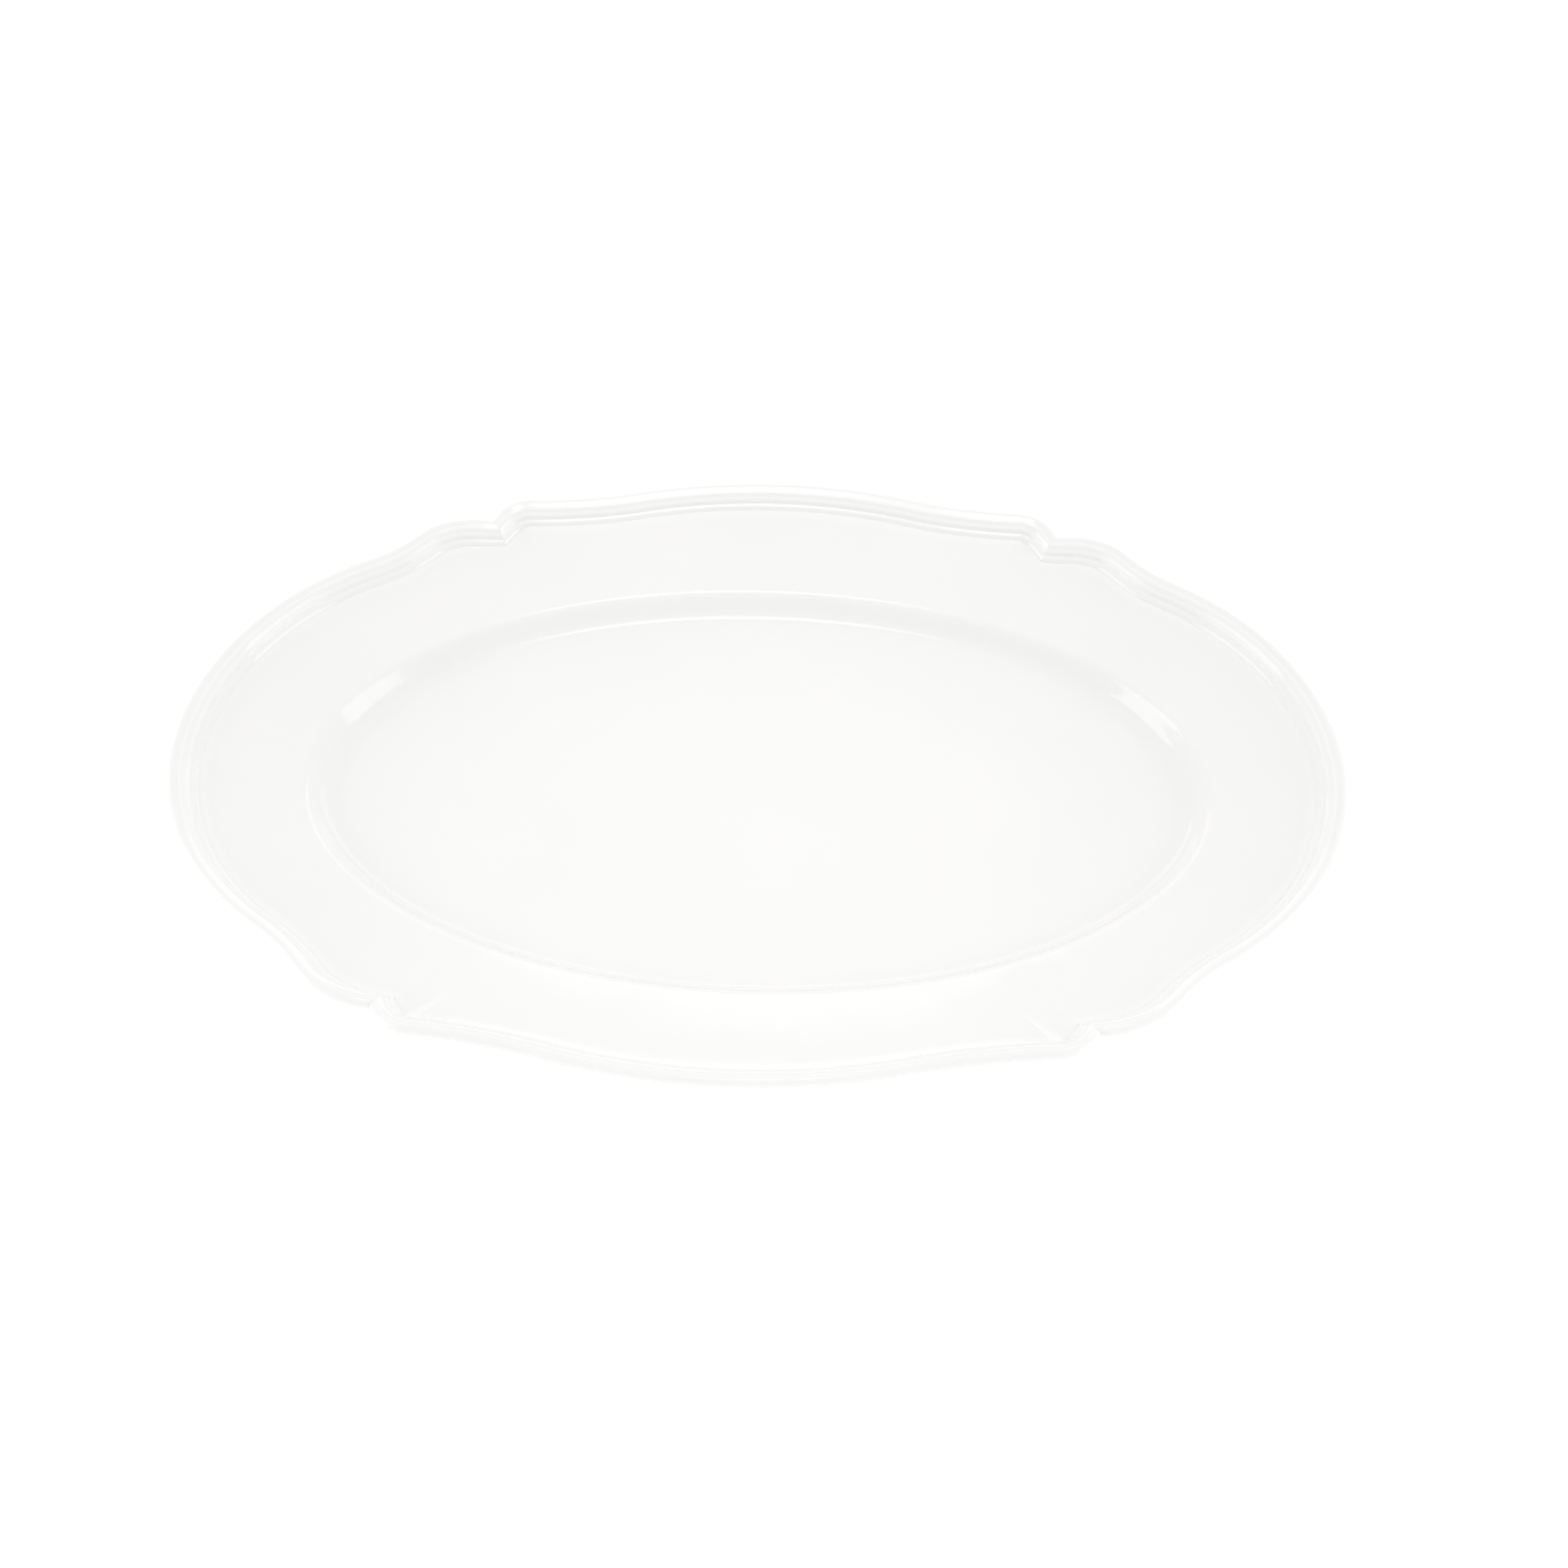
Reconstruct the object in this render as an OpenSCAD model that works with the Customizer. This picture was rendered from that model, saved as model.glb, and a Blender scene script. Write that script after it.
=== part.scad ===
// Oval serving platter in glazed white porcelain.
// A flat oval well, a wide sloping flange and a scalloped outline with four cusps,
// followed all the way round by a moulded border of three reeds and a rolled lip.
// Millimetres. +X runs along the length, +Z is up, and the bare foot ring stands on z = 0.

/* [Overall] */
// Overall length, over the glaze
length = 382; // [342:5:432]
// Overall width, over the glaze
width = 274; // [250:1:300]

/* [Well] */
// Height of the well's shoulder over its floor
well_depth = 7.8; // [6:0.1:10]
// Distance in plan from the shoulder in to the flat floor
cavetto_run = 12; // [9:0.5:14]
// Radius of the round between the flange and the cavetto's wall
shoulder_radius = 6; // [3:0.5:8]
// How far the floor dips from its edge to its middle
floor_dish = 0.6; // [0:0.1:1]
// Thickness of the clay under the floor's edge
floor_thickness = 5.2; // [4:0.1:7]

/* [Flange] */
// Distance in plan from the outline in to the well's shoulder at each end
end_flange = 39; // [31:0.5:47]
// Distance in plan from the outline in to the well's shoulder at the middle of each side
side_flange = 43; // [33:0.5:51]
// Slope of the flange, in degrees
flange_slope = 16.5; // [8:0.5:22]
// Thickness of the clay under the flange
flange_thickness = 4.8; // [3.6:0.1:6]

/* [Border] */
// Width of the moulded border in plan
border_width = 9; // [8:0.1:10]
// Height of the border's outermost groove over the flange
border_rise = 5.6; // [4.5:0.1:6.5]
// How far each reed stands out of its two grooves, as a share of the distance between them
reed_relief = 0.11; // [0.08:0.01:0.16]
// Radius of the round lip
lip_radius = 1.85; // [1.6:0.05:2.1]
// Height of the lip over the outermost groove
lip_height = 1.1; // [0.7:0.1:1.4]
// Thickness of the clay under the middle of the border
border_thickness = 5.2; // [4.6:0.1:5.8]
// How far the rim dips at each cusp
cusp_dip = 2; // [0:0.1:3]

/* [Foot] */
// Height of the foot ring
foot_height = 2.4; // [2:0.1:4]
// Width of the foot ring
foot_width = 4.2; // [3:0.1:6]
// Distance in plan from the floor's edge in to the foot ring's outer wall
foot_inset = 0.5; // [0:0.1:3]

/* [Glaze] */
// Thickness of the glaze
glaze_thickness = 0.3; // [0.2:0.05:0.4]
// Height of the bare clay left at the bottom of the foot ring
bare_height = 0.8; // [0.5:0.1:1.2]

/* [Hidden] */
porcelain = [0.91, 0.90, 0.87];
biscuit = [0.88, 0.85, 0.79];
glaze_white = [0.97, 0.97, 0.96];

// The outline is drawn at this size as runs of tangent arcs, then scaled to length and width.
drawn = [380, 272];
// Each arc is [radius, sweep, steps], and a negative sweep turns clockwise.
end_arcs = [[103.8, 55.4, 7], [72.7, -17.4, 2], [29.8, 55, 4]];
side_arcs = [[197.1, -15.4, 4], [189.2, 12, 2], [14, -72.3, 5]];
end_start = [drawn.x / 2, 0, 90];
side_start = [0, drawn.y / 2, 0];

// Ovals of the well, as half lengths and half widths.
shoulder = [length / 2 - end_flange, width / 2 - side_flange];
foot_outer = shoulder - (cavetto_run + foot_inset) * [1, 1];
foot_inner = foot_outer - foot_width * [1, 1];

// Distances outward from the shoulder to the edge of the floor and to the foot ring's wall.
floor_s = -cavetto_run;
foot_s = -(cavetto_run + foot_inset);

// Heights of the clay.
floor_z = foot_height + floor_thickness;
shoulder_z = floor_z + well_depth;
// Distance along the edge over which a cusp's dip fades away.
dip_reach = 22;

// The cavetto is a cove, a straight wall and the shoulder's round, all tangent.
// Its wall is steeper by this factor than the straight line from the floor's edge to the shoulder.
wall_steepening = 1.5;
wall_slope = wall_steepening * atan(well_depth / cavetto_run);
// What the cove and the wall have to cover between them, across and up.
cove_span = [
    cavetto_run - shoulder_radius * (sin(wall_slope) - sin(flange_slope)),
    well_depth - shoulder_radius * (cos(flange_slope) - cos(wall_slope))
];
cove_radius = (cove_span.x * sin(wall_slope) - cove_span.y * cos(wall_slope)) / (1 - cos(wall_slope));

// Where the grooves lie between the flange and the lip, as shares of the way across and up.
groove_places = [[0, 0], [0.38, 0.34], [0.62, 0.69], [1, 1]];
reeded_width = border_width - 2 * lip_radius;
grooves = [for (place = groove_places) [place.x * reeded_width, place.y * border_rise]];
last_groove = grooves[len(grooves) - 1];
// Angles round the lip at which its face starts and its underside ends.
lip_from = 130;
lip_under = -55;

// Facets along each stretch of the section.
cove_steps = 4;
shoulder_steps = 2;
flange_steps = 3;
reed_steps = 4;
lip_steps = 4;
under_steps = 4;

// ---- outline ----

// The place and heading reached after turning by `angle` along one arc.
function turned(from, arc, angle) =
    let (k = sign(arc[1]) * arc[0], heading = from[2] + angle)
    [
        from.x + k * (sin(heading) - sin(from[2])),
        from.y + k * (cos(from[2]) - cos(heading)),
        heading
    ];

// Places and headings along a run of arcs, without its last place.
function arc_run(from, arcs, i = 0) =
    i == len(arcs) ? [] : concat(
        [for (k = [0 : arcs[i][2] - 1]) turned(from, arcs[i], arcs[i][1] * k / arcs[i][2])],
        arc_run(turned(from, arcs[i], arcs[i][1]), arcs, i + 1)
    );

// The place and heading at the end of a run of arcs.
function run_end(from, arcs, i = 0) =
    i == len(arcs) ? from : run_end(turned(from, arcs[i], arcs[i][1]), arcs, i + 1);

function reversed(list) = [for (i = [len(list) - 1 : -1 : 0]) list[i]];

// The cusp between an end lobe and a side lobe, facing midway between the two.
cusp = run_end(end_start, end_arcs);
cusp_outward = (cusp[2] + run_end(side_start, side_arcs)[2]) / 2;

// One quarter of the outline, end to side: [x, y, outward direction].
quarter = concat(
    [for (p = arc_run(end_start, end_arcs)) [p.x, p.y, p[2] - 90]],
    [[cusp.x, cusp.y, cusp_outward]],
    reversed([for (p = arc_run(side_start, side_arcs)) [p.x, p.y, p[2] + 90]])
);
mirrored = [for (q = reversed(quarter)) [-q.x, q.y, 180 - q[2]]];
half = concat(quarter, [for (i = [1 : len(mirrored) - 2]) mirrored[i]]);
drawn_outline = concat(half, [for (q = half) [-q.x, -q.y, q[2] + 180]]);

// ---- stations: upright sections round the platter ----

function unit(v) = v / norm(v);

// How far the rim has dipped at one outline point, most at the cusp and fading along the edge.
function dip(q) =
    let (away = norm([abs(q.x) - cusp.x, abs(q.y) - cusp.y]) / dip_reach)
    cusp_dip * exp(-away * away);

// [edge point, outward direction, angle on the ovals, dip] of one outline point.
function station(q) =
    let (
        edge = [q.x * length / drawn.x, q.y * width / drawn.y],
        outward = unit([cos(q[2]) * drawn.x / length, sin(q[2]) * drawn.y / width])
    )
    [edge, outward, atan2(q.y / drawn.y, q.x / drawn.x), dip(q)];

stations = [for (q = drawn_outline) station(q)];

function oval_point(st, half_axes) = [half_axes.x * cos(st[2]), half_axes.y * sin(st[2])];
function offset_edge(st, inward) = st[0] - inward * st[1];
function flange_length(st) = norm(offset_edge(st, border_width) - oval_point(st, shoulder));

// The plan point at distance `s` outward from the shoulder on one station.
function plan_point(st, s) =
    let (
        run = flange_length(st),
        inner = oval_point(st, shoulder),
        outer = offset_edge(st, border_width)
    )
    s < foot_s ? oval_point(st, shoulder + foot_s * [1, 1]) * (s + shoulder.x) / (foot_s + shoulder.x)
    : s < 0 ? oval_point(st, shoulder + s * [1, 1])
    : s < run ? inner + (outer - inner) * s / run
    : offset_edge(st, border_width + run - s);

// ---- sections: lists of [s, z] from the middle out, round the lip and back under ----

// Rises from 0 to 1 with `u`, level at the start and at `end_slope` at the end.
function eased(u, end_slope) = u * u * (3 - 2 * u + end_slope * (u - 1));

// Height of the flange at distance `s` out from the shoulder.
function flange_z(st, s) =
    let (share = s / flange_length(st))
    shoulder_z + s * tan(flange_slope) - st[3] * share * share;

// A curve that leaves `from` level and arrives at `to` along the flange's slope, without its last point.
function sweep_up(from, to, steps) =
    let (rise = to - from, end_slope = tan(flange_slope) * rise.x / rise.y)
    [
        for (k = [0 : steps - 1])
            let (u = k / steps)
            from + [rise.x * u, rise.y * eased(u, end_slope)]
    ];

floor_section = [
    for (share = [0, 0.55])
        [-shoulder.x + share * (shoulder.x + floor_s), floor_z - floor_dish * (1 - share * share)]
];

// The points of the cove and of the shoulder's round where they stand at `slope`.
function cove_point(slope) = [floor_s, floor_z] + cove_radius * [sin(slope), 1 - cos(slope)];
function shoulder_point(slope) =
    [0, shoulder_z]
    + shoulder_radius * [sin(flange_slope) - sin(slope), cos(slope) - cos(flange_slope)];

cavetto_section = concat(
    [for (k = [0 : cove_steps]) cove_point(wall_slope * k / cove_steps)],
    [
        for (k = [0 : shoulder_steps - 1])
            shoulder_point(wall_slope + (flange_slope - wall_slope) * k / shoulder_steps)
    ]
);

function flange_section(st) = [
    for (k = [0 : flange_steps - 1])
        let (s = flange_length(st) * k / flange_steps)
        [s, flange_z(st, s)]
];

// A point of the border, given as [distance across it, height over the flange's edge].
function on_border(st, p) =
    let (run = flange_length(st))
    [run + p.x, flange_z(st, run) + p.y];

// A point at share `u` of the way round the reed between two grooves, on a half wave between them.
function reed_point(from, to, u) =
    let (span = to - from)
    from + span * u + reed_relief * sin(180 * u) * [-span.y, span.x];

// Rounded reeds, each starting from its inner groove.
function reed_section(st) = [
    for (i = [0 : len(grooves) - 2])
        for (k = [0 : reed_steps - 1])
            on_border(st, reed_point(grooves[i], grooves[i + 1], k / reed_steps))
];

// The point at `angle` round the clay of the lip.
function lip_point(st, angle) =
    let (centre = [border_width - lip_radius, border_rise + lip_height - lip_radius])
    on_border(st, centre + (lip_radius - glaze_thickness) * [cos(angle), sin(angle)]);

function lip_section(st) = concat(
    [on_border(st, last_groove)],
    [for (k = [0 : lip_steps]) lip_point(st, lip_from * (1 - k / lip_steps))]
);

// The clay from the middle of the floor out to the edge of the lip.
function face_section(st) = concat(
    floor_section, cavetto_section, flange_section(st), reed_section(st), lip_section(st)
);
face_count = len(face_section(stations[0]));

// The underside from below the lip in to the foot ring.
function under_section(st) =
    let (
        run = flange_length(st),
        under_shoulder = [flange_thickness / 2, shoulder_z - flange_thickness]
    )
    concat(
        [
            lip_point(st, lip_under),
            on_border(st, (last_groove + grooves[2]) / 2 - [0, border_thickness])
        ],
        [for (share = [1, 0.5]) [run * share, flange_z(st, run * share) - flange_thickness]],
        [under_shoulder],
        reversed(sweep_up([foot_s, foot_height], under_shoulder, under_steps))
    );

// The whole clay section of one station, from the middle of the floor round to the foot ring.
function clay_section(st) = concat(face_section(st), under_section(st));

// A section moved out along its own normals by `thickness`.
function lifted(section, thickness) = [
    for (k = [0 : len(section) - 1])
        let (
            along = section[min(k + 1, len(section) - 1)] - section[max(k - 1, 0)],
            normal = unit([-along.y, along.x])
        )
        section[k] + thickness * normal
];

// ---- solids from sections ----

// A section as points in space on its own station.
function placed(st, section) = [for (p = section) let (q = plan_point(st, p.x)) [q.x, q.y, p.y]];

// Triangles between neighbouring lines of points, and round from the last point to the first if `wrap`.
function strip_faces(count, size, first, wrap) = [
    for (i = [0 : count - 1])
        for (j = [0 : size - (wrap ? 1 : 2)])
            let (
                a = first + i * size + j,
                b = first + i * size + (j + 1) % size,
                c = first + (i + 1) % count * size + j,
                d = first + (i + 1) % count * size + (j + 1) % size
            )
            each [[a, c, d], [a, d, b]]
];

// A solid from one open line per station, closed by a point on the axis at each end.
module capped_solid(lines, top_z, bottom_z) {
    count = len(lines);
    size = len(lines[0]);
    polyhedron(
        points = concat([[0, 0, top_z], [0, 0, bottom_z]], [for (line = lines) each line]),
        faces = concat(
            [for (i = [0 : count - 1]) [0, 2 + (i + 1) % count * size, 2 + i * size]],
            strip_faces(count, size, 2, false),
            [for (i = [0 : count - 1]) [1, 1 + (i + 1) * size, 1 + ((i + 1) % count + 1) * size]]
        )
    );
}

// A ring-shaped solid from one closed loop per station.
module looped_solid(loops) {
    polyhedron(
        points = [for (loop = loops) each loop],
        faces = strip_faces(len(loops), len(loops[0]), 0, true)
    );
}

function slice(list, from, to) = [for (i = [from : to]) list[i]];

module oval(half_axes) {
    polygon([for (st = stations) oval_point(st, half_axes)]);
}

module oval_ring(outer, inner, from_z, to_z) {
    translate([0, 0, from_z])
        linear_extrude(to_z - from_z)
            difference() {
                oval(outer);
                oval(inner);
            }
}

// ---- sub-parts ----

// The fired porcelain: floor, cavetto, flange, reeded border and lip.
module body() {
    color(porcelain)
        capped_solid(
            [
                for (st = stations)
                    let (clay = clay_section(st))
                    placed(st, slice(clay, 1, len(clay) - 1))
            ],
            floor_z - floor_dish,
            foot_height
        );
}

// The ring that the platter stands on, ground bare at the bottom.
module foot_ring() {
    color(biscuit)
        oval_ring(foot_outer, foot_inner, 0, foot_height);
}

// The glaze over the face, out to the edge of the lip.
module face_glaze() {
    color(glaze_white)
        capped_solid(
            [
                for (st = stations)
                    let (
                        clay = clay_section(st),
                        skin = lifted(clay, glaze_thickness)
                    )
                    placed(st, concat(
                        slice(skin, 1, face_count - 1),
                        reversed(slice(clay, 1, face_count - 1))
                    ))
            ],
            floor_z - floor_dish + glaze_thickness,
            floor_z - floor_dish
        );
}

// The glaze under the platter, from the edge of the lip in to the foot ring and down its outer wall.
module back_glaze() {
    color(glaze_white)
        looped_solid([
            for (st = stations)
                let (
                    clay = concat(clay_section(st), [[foot_s, bare_height]]),
                    skin = lifted(clay, glaze_thickness),
                    last = len(clay) - 1
                )
                placed(st, concat(
                    slice(skin, face_count - 1, last),
                    reversed(slice(clay, face_count - 1, last))
                ))
        ]);
}

// The glaze inside the foot ring, over the recess and down the ring's inner wall.
module base_glaze() {
    color(glaze_white) {
        translate([0, 0, foot_height - glaze_thickness])
            linear_extrude(glaze_thickness)
                oval(foot_inner);
        oval_ring(
            foot_inner, foot_inner - glaze_thickness * [1, 1], bare_height, foot_height - glaze_thickness
        );
    }
}

body();
foot_ring();
face_glaze();
back_glaze();
base_glaze();
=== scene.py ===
"""Looks of the oval china serving platter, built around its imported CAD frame.

Each CAD node is replaced by a smooth mesh that is swept along the same outline and section.
Lengths in the geometry are millimetres until make_mesh() turns them into metres.
"""

import math

import bpy
import numpy as np
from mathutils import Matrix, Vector


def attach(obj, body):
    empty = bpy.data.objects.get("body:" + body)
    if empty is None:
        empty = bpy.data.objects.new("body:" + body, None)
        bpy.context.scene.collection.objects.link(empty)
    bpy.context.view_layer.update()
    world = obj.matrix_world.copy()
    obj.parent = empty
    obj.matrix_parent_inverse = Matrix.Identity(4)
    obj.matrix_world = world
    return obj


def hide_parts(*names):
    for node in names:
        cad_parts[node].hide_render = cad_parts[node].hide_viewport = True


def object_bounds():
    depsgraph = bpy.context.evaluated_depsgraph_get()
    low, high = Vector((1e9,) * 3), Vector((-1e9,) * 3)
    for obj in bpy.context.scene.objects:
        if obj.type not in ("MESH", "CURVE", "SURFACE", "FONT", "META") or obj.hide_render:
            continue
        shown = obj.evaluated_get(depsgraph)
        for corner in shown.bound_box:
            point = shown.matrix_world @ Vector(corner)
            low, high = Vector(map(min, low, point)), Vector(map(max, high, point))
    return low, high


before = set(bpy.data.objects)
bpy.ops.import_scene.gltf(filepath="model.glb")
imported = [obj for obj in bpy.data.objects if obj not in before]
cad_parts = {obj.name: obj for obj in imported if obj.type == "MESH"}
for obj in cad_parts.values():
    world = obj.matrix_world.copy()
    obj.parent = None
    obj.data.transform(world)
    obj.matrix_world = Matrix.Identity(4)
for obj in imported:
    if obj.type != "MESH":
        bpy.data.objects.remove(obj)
cad_low, cad_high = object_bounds()

MM = 0.001

# ---- dimensions, as in the CAD source ----

# The outline's arcs are drawn at this size, and then scaled to the CAD's box.
DRAWN_SIZE = np.array([380.0, 272.0])
# Each run of tangent arcs starts in the middle of a lobe and ends at the cusp: (radius, sweep).
END_START = (190.0, 0.0, 90.0)
END_ARCS = ((103.8, 55.4), (72.7, -17.4), (29.8, 55.0))
SIDE_START = (0.0, 136.0, 0.0)
SIDE_ARCS = ((197.1, -15.4), (189.2, 12.0), (14.0, -72.3))

# Half the length and width of the oval where the flange ends and the shoulder rounds over.
SHOULDER = np.array([152.0, 94.0])
CAVETTO_RUN = 12.0
WELL_DEPTH = 7.8
SHOULDER_RADIUS = 6.0
# The slope angle of the cavetto's wall, as a multiple of that of a straight line across it.
WALL_STEEPENING = 1.5
FLOOR_DISH = 0.6
FLOOR_THICKNESS = 5.2
FLANGE_SLOPE = math.radians(16.5)
FLANGE_THICKNESS = 4.8
BORDER_WIDTH = 9.0
BORDER_RISE = 5.6
BORDER_THICKNESS = 5.2
REED_RELIEF = 0.11
# Where the grooves lie between the flange and the lip, as shares of the way across and up.
GROOVE_PLACES = ((0.0, 0.0), (0.38, 0.34), (0.62, 0.69), (1.0, 1.0))
LIP_RADIUS = 1.85
LIP_HEIGHT = 1.1
# The lip's round starts and ends at these angles, in degrees up from straight out.
LIP_FROM, LIP_UNDER = 120, -55
# The rim dips by this much at a cusp, and the dip fades over this distance.
CUSP_DIP = 2.0
DIP_REACH = 22.0
FOOT_HEIGHT = 2.4
FOOT_WIDTH = 4.2
FOOT_INSET = 0.5
FOOT_ROUND = 0.5
BARE_HEIGHT = 0.8
BASE_FILLET = 0.6
GLAZE = 0.3
# Towards the bare foot the glaze thins: (height over the bare band, share of the full thickness).
OUTER_GLAZE_END = ((0.25, 0.95), (0.1, 0.75), (0.0, 0.2))
BASE_GLAZE_END = ((0.0, 0.0), (0.05, 0.6), (0.3, 1.0))

# Names that end in _S are distances out from the shoulder, in plan.
FLOOR_S = -CAVETTO_RUN
FOOT_S = -(CAVETTO_RUN + FOOT_INSET)
FOOT_OUTER = SHOULDER + FOOT_S
FLOOR_Z = FOOT_HEIGHT + FLOOR_THICKNESS
SHOULDER_Z = FLOOR_Z + WELL_DEPTH
REEDED_WIDTH = BORDER_WIDTH - 2 * LIP_RADIUS
GROOVES = np.array(GROOVE_PLACES) * [REEDED_WIDTH, BORDER_RISE]
FLANGE_TANGENT = math.tan(FLANGE_SLOPE)
WALL_SLOPE = WALL_STEEPENING * math.atan(WELL_DEPTH / CAVETTO_RUN)
COVE_RUN = CAVETTO_RUN - SHOULDER_RADIUS * (math.sin(WALL_SLOPE) - math.sin(FLANGE_SLOPE))
COVE_RISE = WELL_DEPTH - SHOULDER_RADIUS * (math.cos(FLANGE_SLOPE) - math.cos(WALL_SLOPE))
COVE_RADIUS = (COVE_RUN * math.sin(WALL_SLOPE) - COVE_RISE * math.cos(WALL_SLOPE)) / (
    1 - math.cos(WALL_SLOPE)
)

# ---- fineness of the meshes ----

# Points of the outline are at most this far apart, in millimetres and in degrees of turn.
ARC_STEP = 1.9
TURN_STEP = 3.0
FLOOR_STEPS = 7
COVE_STEPS = 8
WALL_STEPS = 3
SHOULDER_STEPS = 6
FLANGE_STEPS = 9
REED_STEPS = 9
GROOVE_TO_LIP_STEPS = 3
LIP_STEPS = 8
LIP_UNDER_STEPS = 4
UNDER_STEPS = 6
CORNER_STEPS = 4
# Heights of the rings of points on the foot's outer wall, above the ones where the glaze thins.
FOOT_WALL_RINGS = (1.9, 1.4)
# Distances in from the foot ring of the rings of points across the glazed recess.
BASE_RINGS = (4, 16, 40)
# The border's section turns to face straight out of a cusp over this distance along the edge.
CUSP_TURN = 6.4
# How much the bottoms of the grooves are rounded.
GROOVE_SOFTNESS = 0.35


# ---- outline ----


def turned(start, radius, angle):
    """The place and heading reached after turning by `angle` along an arc of this radius."""
    x, y, heading = start
    signed_radius = math.copysign(radius, angle)
    old, new = math.radians(heading), math.radians(heading + angle)
    return (
        x + signed_radius * (math.sin(new) - math.sin(old)),
        y + signed_radius * (math.cos(old) - math.cos(new)),
        heading + angle,
    )


def arc_run(start, arcs):
    """Places and headings along a run of arcs, with the cusp last."""
    points = []
    for radius, sweep in arcs:
        by_length = abs(math.radians(sweep)) * radius / ARC_STEP
        steps = math.ceil(max(by_length, abs(sweep) / TURN_STEP))
        points += [turned(start, radius, sweep * k / steps) for k in range(steps)]
        start = turned(start, radius, sweep)
    return np.array(points + [start])


def with_cusp_turn(points, directions, cusp_direction):
    """Outward directions that swing round to the cusp's own direction near the end of a run."""
    chords = np.linalg.norm(np.diff(points[:, :2], axis=0), axis=1)
    to_cusp = np.append(np.cumsum(chords[::-1])[::-1], 0.0)
    start = np.interp(-CUSP_TURN, -to_cusp, directions)
    near = to_cusp < CUSP_TURN
    share = to_cusp / CUSP_TURN
    return np.where(near, cusp_direction + (start - cusp_direction) * share, directions)


def drawn_outline():
    """The whole outline, counterclockwise, as rows of x, y and outward direction in degrees.

    Comes with the place of the cusp at positive x and y.
    """
    end = arc_run(END_START, END_ARCS)
    side = arc_run(SIDE_START, SIDE_ARCS)
    end_out, side_out = end[:, 2] - 90, side[:, 2] + 90
    cusp_out = (end_out[-1] + side_out[-1]) / 2
    end[:, 2] = with_cusp_turn(end, end_out, cusp_out)
    side[:, 2] = with_cusp_turn(side, side_out, cusp_out)
    quarter = np.vstack([end, side[-2::-1]])
    mirrored = quarter[::-1] * [-1, 1, -1] + [0, 0, 180]
    half = np.vstack([quarter, mirrored[1:-1]])
    return np.vstack([half, half * [-1, -1, 1] + [0, 0, 180]]), end[-1, :2]


outline, cusp = drawn_outline()
cad_size = np.array(cad_high - cad_low)[:2] / MM
edge = outline[:, :2] * cad_size / DRAWN_SIZE
outward = np.column_stack([np.cos(np.radians(outline[:, 2])), np.sin(np.radians(outline[:, 2]))])
oval_angle = np.arctan2(outline[:, 1] / DRAWN_SIZE[1], outline[:, 0] / DRAWN_SIZE[0])
oval_direction = np.column_stack([np.cos(oval_angle), np.sin(oval_angle)])
cusp_distance = np.linalg.norm(np.abs(outline[:, :2]) - cusp, axis=1)
dip = CUSP_DIP * np.exp(-((cusp_distance / DIP_REACH) ** 2))
shoulder_line = SHOULDER * oval_direction
border_line = edge - BORDER_WIDTH * outward
flange_run = np.linalg.norm(border_line - shoulder_line, axis=1)
STATIONS = len(edge)


def placed(section):
    """Points in space of a section [station, point, (distance out from the shoulder, height)]."""
    s = section[:, :, 0, None]
    run = flange_run[:, None, None]
    foot_oval = (FOOT_OUTER * oval_direction)[:, None]
    inside = foot_oval * (s + SHOULDER[0]) / FOOT_OUTER[0]
    round_well = shoulder_line[:, None] + s * oval_direction[:, None]
    on_flange = shoulder_line[:, None] + (border_line - shoulder_line)[:, None] * s / run
    over_border = border_line[:, None] + (s - run) * outward[:, None]
    plan = np.where(s < run, on_flange, over_border)
    plan = np.where(s < 0, round_well, plan)
    plan = np.where(s < FOOT_S, inside, plan)
    return np.concatenate([plan, section[:, :, 1, None]], axis=2)


# ---- section ----


def knot(s, z):
    """One point of the section on every station: distance out from the shoulder, and height."""
    return np.stack(np.broadcast_arrays(s, z, flange_run)[:2], axis=-1).astype(float)


def flange_height(s):
    """Height of the flange's face, which dips towards the cusps."""
    return SHOULDER_Z + s * FLANGE_TANGENT - dip * (s / flange_run) ** 2


def on_border(across, height):
    """A point of the border, from its distance across and its height over the flange's edge."""
    return knot(flange_run + across, flange_height(flange_run) + height)


def sweep_up(start, end, shares):
    """Points of a curve that leaves `start` level and arrives at `end` along the flange's slope."""
    run, rise = end[0] - start[0], end[1] - start[1]
    end_slope = FLANGE_TANGENT * run / rise
    return [
        knot(start[0] + run * u, start[1] + rise * u * u * (3 - 2 * u + end_slope * (u - 1)))
        for u in shares
    ]


def cove_point(slope):
    """The point of the cove where it stands at `slope`, rising from the edge of the floor."""
    across, up = math.sin(slope), 1 - math.cos(slope)
    return knot(FLOOR_S + COVE_RADIUS * across, FLOOR_Z + COVE_RADIUS * up)


def shoulder_point(slope):
    """The point of the shoulder's round where it stands at `slope`, falling from the flange."""
    across, down = math.sin(slope) - math.sin(FLANGE_SLOPE), math.cos(FLANGE_SLOPE) - math.cos(slope)
    return knot(-SHOULDER_RADIUS * across, SHOULDER_Z - SHOULDER_RADIUS * down)


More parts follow.
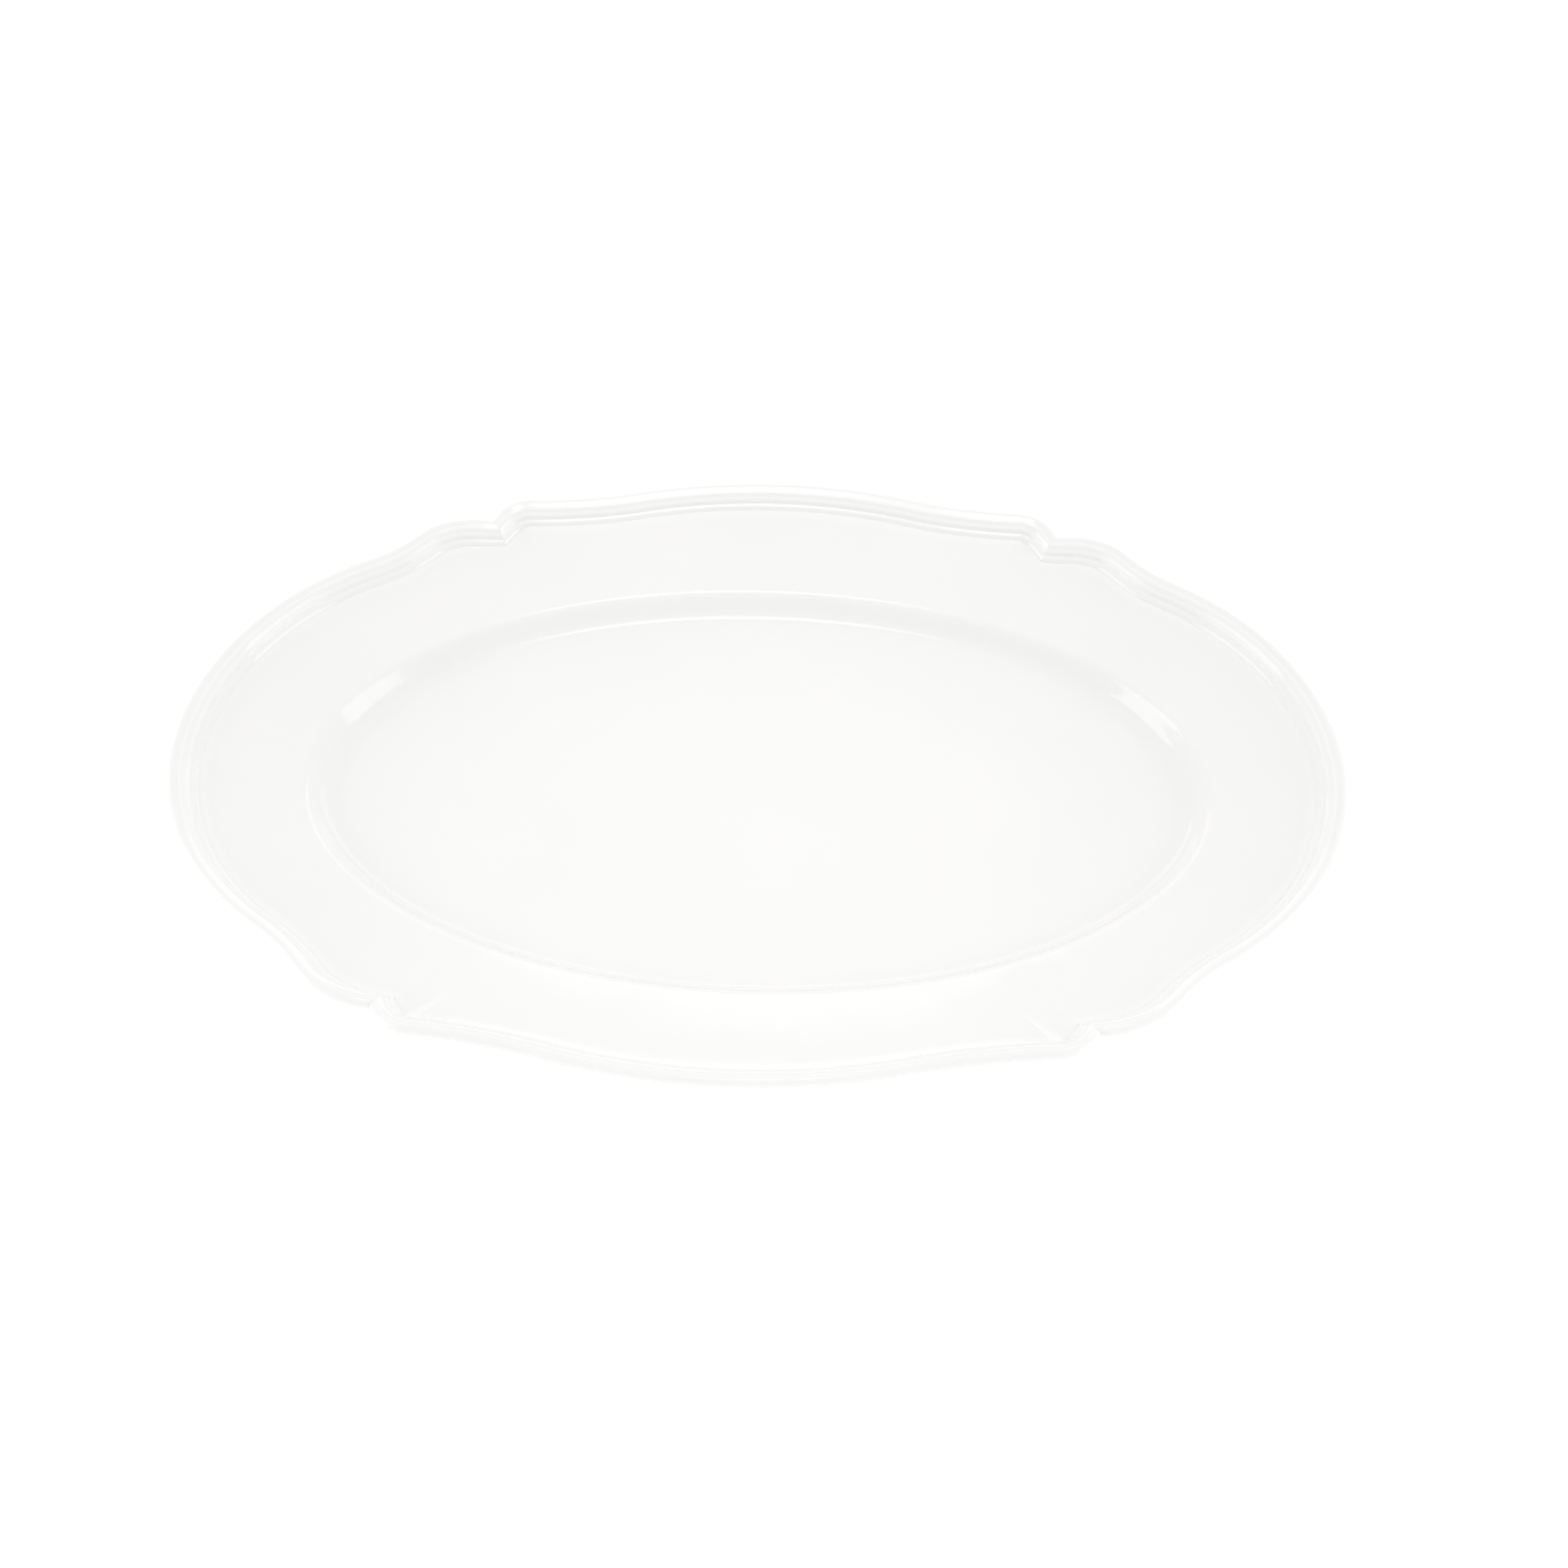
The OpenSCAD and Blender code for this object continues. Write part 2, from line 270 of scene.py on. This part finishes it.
def smooth_curve(knots, steps):
    """Points along a smooth curve through the knots, without the last one."""
    spans = [b - a for a, b in zip(knots, knots[1:])]
    lengths = [np.linalg.norm(span, axis=1, keepdims=True) for span in spans]
    slopes = [span / length for span, length in zip(spans, lengths)]
    tangents = [slopes[0]]
    for k in range(1, len(spans)):
        weighted = slopes[k - 1] * lengths[k] + slopes[k] * lengths[k - 1]
        tangents.append(weighted / (lengths[k - 1] + lengths[k]))
    tangents.append(slopes[-1])
    points = []
    for k, (a, b) in enumerate(zip(knots, knots[1:])):
        for u in np.arange(steps) / steps:
            points.append(
                a * (1 + 2 * u) * (1 - u) ** 2
                + b * (3 - 2 * u) * u * u
                + tangents[k] * lengths[k] * u * (1 - u) ** 2
                - tangents[k + 1] * lengths[k] * (1 - u) * u * u
            )
    return points


def lip_point(angle):
    """The point of the lip's round at an angle in degrees up from straight out."""
    centre = (BORDER_WIDTH - LIP_RADIUS, BORDER_RISE + LIP_HEIGHT - LIP_RADIUS)
    radius = LIP_RADIUS - GLAZE
    turn = math.radians(angle)
    return on_border(centre[0] + radius * math.cos(turn), centre[1] + radius * math.sin(turn))


def reed_lift(share):
    """How far a reed stands out at a share of the way between its grooves, from 0 to 1."""
    soft = GROOVE_SOFTNESS
    return (math.hypot(math.sin(math.pi * share), soft) - soft) / (math.hypot(1, soft) - soft)


def well_line():
    """The clay from the middle of the floor over the shoulder to the flange."""
    points = []
    for k in range(1, FLOOR_STEPS):
        share = k / FLOOR_STEPS
        s = -SHOULDER[0] + share * (SHOULDER[0] + FLOOR_S)
        points.append(knot(s, FLOOR_Z - FLOOR_DISH * (1 - share**2)))

    points += [cove_point(WALL_SLOPE * k / COVE_STEPS) for k in range(COVE_STEPS)]
    wall_foot, wall_top = cove_point(WALL_SLOPE), shoulder_point(WALL_SLOPE)
    points += [wall_foot + (wall_top - wall_foot) * k / WALL_STEPS for k in range(WALL_STEPS)]
    slopes = np.linspace(WALL_SLOPE, FLANGE_SLOPE, SHOULDER_STEPS, endpoint=False)
    return points + [shoulder_point(slope) for slope in slopes]


def flange_line():
    """The clay from the shoulder to the first groove."""
    reaches = [flange_run * k / FLANGE_STEPS for k in range(FLANGE_STEPS)]
    return [knot(s, flange_height(s)) for s in reaches]


def reed_line():
    """The clay from the first groove to the last, without the reeds that stand on it.

    Comes with how far the reeds stand out at each point, from 0 to 1, and in millimetres.
    """
    points, shares, lifts = [], [], []
    for start, end in zip(GROOVES, GROOVES[1:]):
        span = end - start
        for u in np.arange(REED_STEPS) / REED_STEPS:
            points.append(on_border(*(start + span * u)))
            shares.append(reed_lift(u))
            lifts.append(reed_lift(u) * REED_RELIEF * math.hypot(*span))
    return points, shares, lifts


def lip_line():
    """The clay from the last groove to the edge of the lip."""
    up = smooth_curve([on_border(*GROOVES[-1]), lip_point(LIP_FROM)], GROOVE_TO_LIP_STEPS)
    return up + [lip_point(LIP_FROM * (1 - k / LIP_STEPS)) for k in range(LIP_STEPS + 1)]


def face_line():
    """The clay from the middle of the floor to the edge of the lip, without its reeds.

    Comes with how deep each point lies in a groove, from 0 on a reed's top or off the reeds to 1,
    and with the reeds' height there in millimetres.
    """
    inside = well_line() + flange_line()
    reeds, shares, lifts = reed_line()
    points = inside + reeds + lip_line()
    last_groove = len(inside + reeds)
    on_reeds = slice(len(inside), last_groove)

    depths, heights = np.zeros(len(points)), np.zeros(len(points))
    depths[on_reeds] = 1 - np.array(shares)
    depths[last_groove] = 1
    heights[on_reeds] = lifts
    return points, depths, heights


def back_line():
    """The clay from under the lip in to the foot ring, and down its outer wall."""
    under_shoulder = (FLANGE_THICKNESS / 2, SHOULDER_Z - FLANGE_THICKNESS)
    lip = [lip_point(LIP_UNDER * k / LIP_UNDER_STEPS) for k in range(1, LIP_UNDER_STEPS)]
    middle = (GROOVES[-2] + GROOVES[-1]) / 2
    knots = [
        lip_point(LIP_UNDER),
        on_border(middle[0], middle[1] - BORDER_THICKNESS),
        knot(flange_run, flange_height(flange_run) - FLANGE_THICKNESS),
        knot(flange_run / 2, flange_height(flange_run / 2) - FLANGE_THICKNESS),
        knot(*under_shoulder),
    ]
    shares = 1 - np.arange(2 * UNDER_STEPS + 1) / (2 * UNDER_STEPS)
    down = sweep_up((FOOT_S, FOOT_HEIGHT), under_shoulder, shares)
    return lip + smooth_curve(knots, UNDER_STEPS) + down


def lifted(section, thickness):
    """A section moved out along its own normals."""
    along = np.gradient(section, axis=1)
    normal = np.stack([-along[:, :, 1], along[:, :, 0]], axis=-1)
    normal /= np.linalg.norm(normal, axis=2, keepdims=True)
    return section + np.asarray(thickness)[None, :, None] * normal


# ---- meshes ----


def grid_normals(grid):
    """Outward normals of a surface given as points [station, point, xyz], closed round the stations."""
    round_about = np.roll(grid, -1, axis=0) - np.roll(grid, 1, axis=0)
    outwards = np.gradient(grid, axis=1)
    normal = np.cross(outwards, round_about)
    return normal / np.linalg.norm(normal, axis=2, keepdims=True)


def strips(first, size, wrap):
    """Quads between neighbouring stations, and from the last point to the first if `wrap`."""
    station = np.arange(STATIONS)[:, None]
    point = np.arange(size if wrap else size - 1)[None]
    here, there = first + station * size, first + (station + 1) % STATIONS * size
    following = (point + 1) % size
    quads = np.stack([here + point, here + following, there + following, there + point], axis=-1)
    return quads.reshape(-1, 4)


def fan(pole, ring, flip):
    """Triangles from a pole to a ring of vertices."""
    after = np.roll(ring, -1)
    pair = (after, ring) if flip else (ring, after)
    return np.column_stack([np.full(len(ring), pole), *pair])


def make_mesh(name, points, normals, faces):
    """A smooth mesh object in metres. Zero normals are left to Blender."""
    mesh = bpy.data.meshes.new(name)
    mesh.from_pydata((points * MM).tolist(), [], [f.tolist() for part in faces for f in part])
    mesh.polygons.foreach_set("use_smooth", [True] * len(mesh.polygons))
    mesh.update()
    mesh.normals_split_custom_set_from_vertices(normals.tolist())
    piece = bpy.data.objects.new(name, mesh)
    bpy.context.scene.collection.objects.link(piece)
    return piece


def capped(name, lines, normals, top_z, bottom_z):
    """A solid from one line of points per station, closed by a pole on the axis at each end."""
    size = lines.shape[1]
    poles = np.array([[0, 0, top_z], [0, 0, bottom_z]])
    points = np.vstack([poles, lines.reshape(-1, 3)])
    pole_normals = np.zeros((2, 3))
    all_normals = np.vstack([pole_normals, normals.reshape(-1, 3)])
    rings = 2 + np.arange(STATIONS) * size
    faces = [fan(0, rings, False), strips(2, size, False), fan(1, rings + size - 1, True)]
    return make_mesh(name, points, all_normals, faces)


def looped(name, loops, normals):
    """A ring-shaped solid from one closed loop of points per station."""
    size = loops.shape[1]
    return make_mesh(name, loops.reshape(-1, 3), normals.reshape(-1, 3), [strips(0, size, True)])


def skin_between(outer, outer_normals, inner):
    """Lines out along one surface and back along the other, with normals for the outer one only."""
    lines = np.concatenate([outer, inner[:, ::-1]], axis=1)
    normals = np.concatenate([outer_normals, np.zeros_like(inner)], axis=1)
    return lines, normals


face_points, groove_depths, reed_heights = face_line()
back_points = back_line()
face_count = len(face_points)
clay_count = face_count + len(back_points)
glaze_end_heights = [BARE_HEIGHT + over for over, _ in OUTER_GLAZE_END]
foot_wall = [knot(FOOT_S, z) for z in (*FOOT_WALL_RINGS, *glaze_end_heights)]
smooth_section = np.stack(face_points + back_points + foot_wall, axis=1)
relief = np.zeros(smooth_section.shape[1])
relief[:face_count] = reed_heights
thickness = np.full(len(relief), GLAZE)
thickness[-len(OUTER_GLAZE_END):] *= [share for _, share in OUTER_GLAZE_END]

clay = placed(lifted(smooth_section, relief))
glazed = placed(lifted(smooth_section, relief + thickness))
clay_normals = grid_normals(clay)
glazed_normals = grid_normals(glazed)
floor_middle = FLOOR_Z - FLOOR_DISH


def make_body():
    """The clay down to the foot ring."""
    solid = slice(0, clay_count)
    return capped("body_clay", clay[:, solid], clay_normals[:, solid], floor_middle, FOOT_HEIGHT)


def make_face_glaze():
    """The skin over the face, with a point attribute that is 1 at the bottoms of the grooves and 0 off
    the reeds; the glaze paints the grooves lighter by it, a painted light that lifts their shade.
    """
    part = slice(0, face_count)
    lines, normals = skin_between(glazed[:, part], glazed_normals[:, part], clay[:, part])
    piece = capped("face_glaze_coat", lines, normals, floor_middle + GLAZE, floor_middle)
    along_line = np.concatenate([groove_depths, groove_depths[::-1]])
    groove_light = piece.data.attributes.new("groove_light", "FLOAT", "POINT")
    groove_light.data.foreach_set("value", np.concatenate([[0, 0], np.tile(along_line, STATIONS)]))
    return piece


def make_back_glaze():
    """The skin from the edge of the lip in to the bare band of the foot."""
    part = slice(face_count - 1, None)
    lines, normals = skin_between(glazed[:, part], glazed_normals[:, part], clay[:, part])
    return looped("back_glaze_coat", lines, normals)


def oval_lines(section):
    """Points in space from rows of (distance in from the foot's outer wall, height)."""
    rows = [
        np.column_stack([(FOOT_OUTER - inward) * oval_direction, np.full(STATIONS, z)])
        for inward, z in section
    ]
    return np.stack(rows, axis=1)


def rounded_corner(centre, start_angle, radius):
    """Points round a quarter circle, counterclockwise."""
    turns = [math.radians(start_angle + 90 * k / CORNER_STEPS) for k in range(CORNER_STEPS + 1)]
    return [(centre[0] + radius * math.cos(a), centre[1] + radius * math.sin(a)) for a in turns]


def make_foot():
    """The foot ring, with rounded edges to stand on."""
    section = (
        [(0, FOOT_HEIGHT)]
        + rounded_corner((FOOT_ROUND, FOOT_ROUND), 180, FOOT_ROUND)
        + rounded_corner((FOOT_WIDTH - FOOT_ROUND, FOOT_ROUND), 270, FOOT_ROUND)
        + [(FOOT_WIDTH, FOOT_HEIGHT)]
    )
    loops = oval_lines(section)
    return looped("foot_ring_bare", loops, np.zeros_like(loops))


def make_base_glaze():
    """The skin up the inside of the foot ring and over the recess."""
    ceiling = FOOT_HEIGHT - GLAZE
    fillet = (FOOT_WIDTH + GLAZE + BASE_FILLET, ceiling - BASE_FILLET)
    corner = [(2 * fillet[0] - x, z) for x, z in rounded_corner(fillet, 0, BASE_FILLET)]
    section = (
        [(FOOT_WIDTH, FOOT_HEIGHT)]
        + [(FOOT_WIDTH + share * GLAZE, BARE_HEIGHT + over) for over, share in BASE_GLAZE_END]
        + corner
        + [(FOOT_WIDTH + inward, ceiling) for inward in BASE_RINGS]
    )
    lines = oval_lines(section)
    return capped("base_glaze_coat", lines, np.zeros_like(lines), FOOT_HEIGHT, ceiling)


# ---- materials ----

# A noise's length is the size of its patches and its depth what its bump stands for, in millimetres.
NOISE_RANGE = (0.3, 0.7)
NOISE_DETAIL = 2.0
GLAZE_COOL = (0.925, 0.925, 0.912)
GLAZE_WARM = (0.940, 0.935, 0.918)
# Painted light: this lighter tone is painted into the bottoms of the reeds' grooves to lift the shade
# there.
GLAZE_GROOVE_LIGHT = (0.965, 0.965, 0.952)
GLAZE_ROUGHNESS = (0.06, 0.11)
GLAZE_IOR = 1.52
CLOUD_LENGTH = 45
GLOSS_LENGTH = 9
WAVE_LENGTH, WAVE_DETAIL = 14, 1.0
PEEL_LENGTH, PEEL_DEPTH = 1.1, 0.004
FACE_WAVES, BACK_WAVES, BASE_WAVES = 0.05, 0.11, 0.14

MOTTLE_LENGTH, MOTTLE_DETAIL = 3.5, 5.0
PATCH_LENGTH = 1.2
GRAIN_LENGTH, GRAIN_DETAIL = 0.5, 4.0
# Each clay: light and dark tone, depth of its grain and range of roughness.
PORCELAIN = ((0.86, 0.85, 0.82), (0.83, 0.82, 0.79), 0.02, (0.5, 0.65))
BISCUIT = ((0.80, 0.77, 0.71), (0.70, 0.67, 0.61), 0.05, (0.75, 0.92))

# The mix node has sockets of the same name for each type of data: these are its colours.
MIX_FIRST, MIX_SECOND, MIX_RESULT = 6, 7, 2


def new_material(name):
    """A material with a principled shader, and the maker and joiner of its nodes."""
    material = bpy.data.materials.new(name)
    material.use_nodes = True
    tree = material.node_tree

    def node(kind, **settings):
        made = tree.nodes.new(kind)
        for key, value in settings.items():
            if key in made.inputs:
                made.inputs[key].default_value = value
            else:
                setattr(made, key, value)
        return made

    return material, tree.nodes["Principled BSDF"], node, tree.links.new


def noise(node, link, length, detail=NOISE_DETAIL):
    """Noise in space with patches of about `length` millimetres."""
    place = node("ShaderNodeTexCoord").outputs["Object"]
    cloud = node("ShaderNodeTexNoise", Scale=1 / (length * MM), Detail=detail)
    link(place, cloud.inputs["Vector"])
    return cloud.outputs["Fac"]


def between(node, link, share, low, high):
    """A value that runs from `low` to `high` as the noise runs over its usual range."""
    spread = node("ShaderNodeMapRange")
    ends = (*NOISE_RANGE, low, high)
    for key, value in zip(("From Min", "From Max", "To Min", "To Max"), ends):
        spread.inputs[key].default_value = value
    link(share, spread.inputs["Value"])
    return spread.outputs["Result"]


def mixed(node, link, share, first, second):
    """A colour mixed from two, which may be fixed or come from other nodes."""
    mix = node("ShaderNodeMix", data_type="RGBA")
    link(share, mix.inputs["Factor"])
    for socket, colour in ((MIX_FIRST, first), (MIX_SECOND, second)):
        if isinstance(colour, tuple):
            mix.inputs[socket].default_value = (*colour, 1)
        else:
            link(colour, mix.inputs[socket])
    return mix.outputs[MIX_RESULT]


def bumped(node, link, height, depth, under=None):
    """A bump whose noise stands for `depth` millimetres, laid over another bump if given."""
    bump = node("ShaderNodeBump", Distance=depth * MM)
    link(height, bump.inputs["Height"])
    if under:
        link(under, bump.inputs["Normal"])
    return bump.outputs["Normal"]


def glaze_material(name, wave_depth, lit_grooves=False):
    """Clear gloss glaze on white clay: faint clouds in its tone, broad waves and fine orange peel."""
    material, shader, node, link = new_material(name)
    clouds = between(node, link, noise(node, link, CLOUD_LENGTH), 0, 1)
    colour = mixed(node, link, clouds, GLAZE_COOL, GLAZE_WARM)
    # On the face the grooves get a lighter tone, full at their bottoms and none off the reeds: painted
    # light that lifts the shade in them.
    if lit_grooves:
        groove_light_share = node("ShaderNodeAttribute", attribute_name="groove_light").outputs["Fac"]
        colour = mixed(node, link, groove_light_share, colour, GLAZE_GROOVE_LIGHT)
    link(colour, shader.inputs["Base Color"])
    gloss = between(node, link, noise(node, link, GLOSS_LENGTH), *GLAZE_ROUGHNESS)
    link(gloss, shader.inputs["Roughness"])
    waves = bumped(node, link, noise(node, link, WAVE_LENGTH, WAVE_DETAIL), wave_depth)
    peel = bumped(node, link, noise(node, link, PEEL_LENGTH), PEEL_DEPTH, waves)
    link(peel, shader.inputs["Normal"])
    shader.inputs["IOR"].default_value = GLAZE_IOR
    return material


def clay_material(name, light, dark, grain_depth, roughness):
    """Bare fired clay: matte, finely grained and slightly mottled."""
    material, shader, node, link = new_material(name)
    mottle = between(node, link, noise(node, link, MOTTLE_LENGTH, MOTTLE_DETAIL), 0, 1)
    link(mixed(node, link, mottle, light, dark), shader.inputs["Base Color"])
    patches = between(node, link, noise(node, link, PATCH_LENGTH), *roughness)
    link(patches, shader.inputs["Roughness"])
    grain = bumped(node, link, noise(node, link, GRAIN_LENGTH, GRAIN_DETAIL), grain_depth)
    link(grain, shader.inputs["Normal"])
    return material


# ---- pieces ----

# Each piece, the CAD node that it replaces, its material slot and its material.
pieces = [
    (make_body(), "body", "porcelain", clay_material("fired_porcelain", *PORCELAIN)),
    (make_foot(), "foot_ring", "biscuit", clay_material("ground_biscuit", *BISCUIT)),
    (make_face_glaze(), "face_glaze", "face_glaze", glaze_material("face_gloss", FACE_WAVES, True)),
    (make_back_glaze(), "back_glaze", "back_glaze", glaze_material("back_gloss", BACK_WAVES)),
    (make_base_glaze(), "base_glaze", "base_glaze", glaze_material("base_gloss", BASE_WAVES)),
]
for piece, node, slot, material in pieces:
    piece.data.materials.append(material)
    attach(piece, "root")
    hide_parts(node)

# ---- floor, backdrop, lights and camera ----

# Places and sizes of the stage and its lights are in metres.
STAGE_RADIUS = 12
STAGE_SIDES = 128
# The stage's floor lies a hair below the foot, so that the two never share a plane.
STAGE_DROP = 0.05 * MM
STAGE_ALBEDO = 0.93
STAGE_GLOW = 0.25
DOME_RADIUS = STAGE_RADIUS + 1
DOME_SEGMENTS, DOME_RINGS = 48, 24
DOME_GLOW = 1.1
STUDIO_ROUGHNESS = 0.9
WHITE = (1, 1, 1, 1)
SKY = 0.832

# The spotlight over the middle: place, cone in degrees, radius and watts.
SPOT_PLACE = (0, -0.04, 1.0)
SPOT_CONE = 25
SPOT_RADIUS = 0.2
SPOT_POWER = 4.6
# The softboxes: azimuth from +Y towards +X and elevation in degrees, size, and radiance.
SOFTBOX_DISTANCE = 1.5
SOFTBOXES = (
    ("left_low_softbox", -95, 15, (1.0, 0.4), 2.0),
    ("right_low_softbox", 95, 15, (1.0, 0.4), 2.3),
    ("left_high_softbox", -90, 35, (0.8, 0.5), 1.5),
    ("right_high_softbox", 90, 35, (0.8, 0.5), 1.35),
    ("back_low_softbox", 0, 15, (1.6, 0.4), 0.6),
)

# The camera fitted to the photo, in millimetres. It aims at a point a little below the rim's level.
AIM_Z = 29.3
CAMERA_PLACE = (29.68, -430.45, AIM_Z + 423.38)
CAMERA_TARGET = (10.22, -19.08, AIM_Z)
SENSOR_WIDTH = 36
LENS = 42.36


def studio_white(name, albedo, glow):
    """Plain studio white, lit from within so that it stays white in the shade."""
    material, shader = new_material(name)[:2]
    shader.inputs["Base Color"].default_value = (albedo, albedo, albedo, 1)
    shader.inputs["Roughness"].default_value = STUDIO_ROUGHNESS
    shader.inputs["Emission Color"].default_value = WHITE
    shader.inputs["Emission Strength"].default_value = glow
    return material


def make_floor():
    bpy.ops.mesh.primitive_circle_add(
        vertices=STAGE_SIDES, radius=STAGE_RADIUS, fill_type="TRIFAN", location=(0, 0, -STAGE_DROP)
    )
    floor = bpy.context.object
    floor.name = "studio_floor"
    floor.data.materials.append(studio_white("studio_floor_white", STAGE_ALBEDO, STAGE_GLOW))


def make_backdrop():
    """A white dome behind everything. It is only seen by the camera and lights nothing."""
    bpy.ops.mesh.primitive_uv_sphere_add(
        segments=DOME_SEGMENTS, ring_count=DOME_RINGS, radius=DOME_RADIUS
    )
    dome = bpy.context.object
    dome.name = "studio_backdrop"
    dome.data.materials.append(studio_white("studio_backdrop_white", 0.0, DOME_GLOW))
    dome.visible_diffuse = False
    dome.visible_glossy = False
    dome.visible_transmission = False
    dome.visible_shadow = False


def make_softbox(name, azimuth, elevation, size, radiance):
    """A soft light that faces the platter and isn't seen itself."""
    light = bpy.data.lights.new(name, "AREA")
    light.shape = "RECTANGLE"
    light.size, light.size_y = size
    light.energy = radiance * math.pi * size[0] * size[1]
    lamp = bpy.data.objects.new(name, light)
    turn, rise = math.radians(azimuth), math.radians(elevation)
    level, height = SOFTBOX_DISTANCE * math.cos(rise), SOFTBOX_DISTANCE * math.sin(rise)
    place = Vector((level * math.sin(turn), level * math.cos(turn), height))
    lamp.location = place
    lamp.rotation_euler = (-place).to_track_quat("-Z", "Y").to_euler()
    lamp.visible_camera = False
    bpy.context.scene.collection.objects.link(lamp)


def make_spotlight():
    """A soft-edged pool of light on the middle of the platter, pointing straight down."""
    light = bpy.data.lights.new("centre_spot", "SPOT")
    light.spot_size = math.radians(SPOT_CONE)
    light.spot_blend = 1
    light.shadow_soft_size = SPOT_RADIUS
    light.energy = SPOT_POWER
    lamp = bpy.data.objects.new("centre_spot", light)
    lamp.location = SPOT_PLACE
    lamp.visible_camera = False
    bpy.context.scene.collection.objects.link(lamp)


def make_sky():
    """Even white light from all round."""
    world = bpy.data.worlds.new("studio")
    world.use_nodes = True
    background = world.node_tree.nodes["Background"]
    background.inputs["Color"].default_value = WHITE
    background.inputs["Strength"].default_value = SKY
    bpy.context.scene.world = world


def make_camera():
    camera_data = bpy.data.cameras.new("camera")
    camera_data.sensor_width = SENSOR_WIDTH
    camera_data.lens = LENS
    camera = bpy.data.objects.new("camera", camera_data)
    place, target = Vector(CAMERA_PLACE) * MM, Vector(CAMERA_TARGET) * MM
    camera.location = place
    camera.rotation_euler = (target - place).to_track_quat("-Z", "Y").to_euler()
    bpy.context.scene.collection.objects.link(camera)
    bpy.context.scene.camera = camera


make_floor()
make_backdrop()
make_spotlight()
for settings in SOFTBOXES:
    make_softbox(*settings)
make_sky()
make_camera()
bpy.context.scene.view_settings.view_transform = "Standard"
